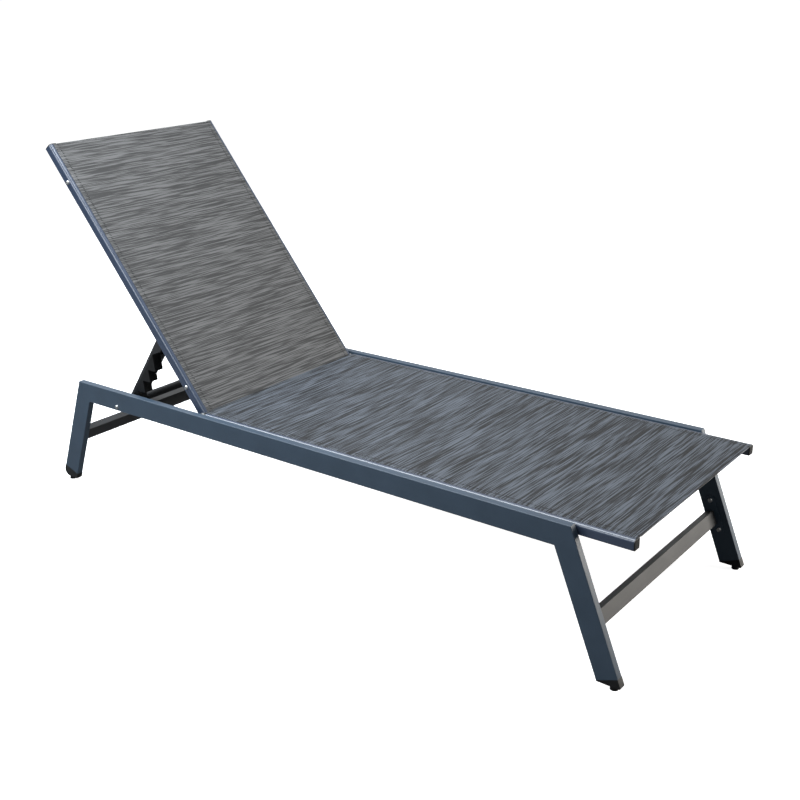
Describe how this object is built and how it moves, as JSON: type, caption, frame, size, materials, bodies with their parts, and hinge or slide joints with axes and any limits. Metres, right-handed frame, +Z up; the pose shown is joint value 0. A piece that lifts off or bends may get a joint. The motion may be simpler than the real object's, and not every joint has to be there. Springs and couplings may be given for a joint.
{
  "type": "sun lounger",
  "caption": "Adjustable aluminium sun lounger with a stretched textile seat and a reclining textile backrest held up by a toothed prop",
  "frame": {"origin": "on the floor, under the middle of the whole lounger", "axes": "+X towards the foot end, +Y towards the sitter's left, +Z up"},
  "size_m": [1.6677, 0.6164, 0.8936],
  "materials": {
    "frame_coat": "satin slate powder coat",
    "sling_rail_coat": "gloss blue-black coat",
    "black_plastic": "satin",
    "fasteners": "bright zinc",
    "seat_textile": "coated woven yarn, bluish grey melange",
    "back_textile": "coated woven yarn, grey melange",
    "bead_cord": "satin"
  },
  "bodies": {
    "frame": {"side_rail_left": "frame_coat", "side_rail_right": "frame_coat", "head_leg_left": "frame_coat", "head_leg_right": "frame_coat", "foot_leg_left": "frame_coat", "foot_leg_right": "frame_coat", "head_leg_cap_left": "black_plastic", "head_leg_cap_right": "black_plastic", "foot_leg_cap_left": "black_plastic", "foot_leg_cap_right": "black_plastic", "head_stretcher": "frame_coat", "foot_stretcher": "frame_coat", "stretcher_plates": "frame_coat", "stretcher_bolts": "fasteners", "seat_rail_left": "sling_rail_coat", "seat_rail_right": "sling_rail_coat", "seat_rail_cap_left": "black_plastic", "seat_rail_cap_right": "black_plastic", "seat_bead_left": "bead_cord", "seat_bead_right": "bead_cord", "seat_sling": "seat_textile", "seat_cross_tube_head": "frame_coat", "seat_cross_tube_middle": "frame_coat", "seat_cross_tube_foot": "frame_coat", "seat_rail_screws": "fasteners", "rack_bar": "frame_coat", "rack_bar_bracket_left": "frame_coat", "rack_bar_bracket_right": "frame_coat", "rack_bar_bolts": "fasteners", "hinge_plate_left": "fasteners", "hinge_plate_right": "fasteners", "hinge_bolts": "fasteners", "hinge_washers": "fasteners", "hinge_nuts": "fasteners"},
    "backrest": {"back_rail_left": "sling_rail_coat", "back_rail_right": "sling_rail_coat", "back_rail_cap_left": "black_plastic", "back_rail_cap_right": "black_plastic", "hinge_plug_left": "black_plastic", "hinge_plug_right": "black_plastic", "back_bead_left": "bead_cord", "back_bead_right": "bead_cord", "back_sling": "back_textile", "lower_spreader": "frame_coat", "upper_spreader": "frame_coat", "spreader_bolts": "fasteners", "prop_bolts": "fasteners", "prop_washers": "fasteners"},
    "prop": {"prop_leg_left": "frame_coat", "prop_leg_right": "frame_coat", "prop_plug_left": "black_plastic", "prop_plug_right": "black_plastic", "prop_cap_left": "black_plastic", "prop_cap_right": "black_plastic", "prop_cross_tube": "frame_coat", "rack_left": "black_plastic", "rack_right": "black_plastic", "rack_screws": "fasteners"}
  },
  "joints": [
    {"name": "back_recline", "type": "hinge", "parent": "frame", "child": "backrest", "pos_m": [-0.30634, 0, 0.29035], "axis": [0, -1, 0], "range_deg": [0, 51.3]},
    {"name": "prop_swing", "type": "hinge", "parent": "backrest", "child": "prop", "pos_m": [-0.45089, 0, 0.46537], "axis": [0, 1, 0], "range_deg": [0, 99.1]}
  ],
  "couplings": [
    {"joint": "prop_swing", "follows": "back_recline", "ratio": 1.93}
  ]
}
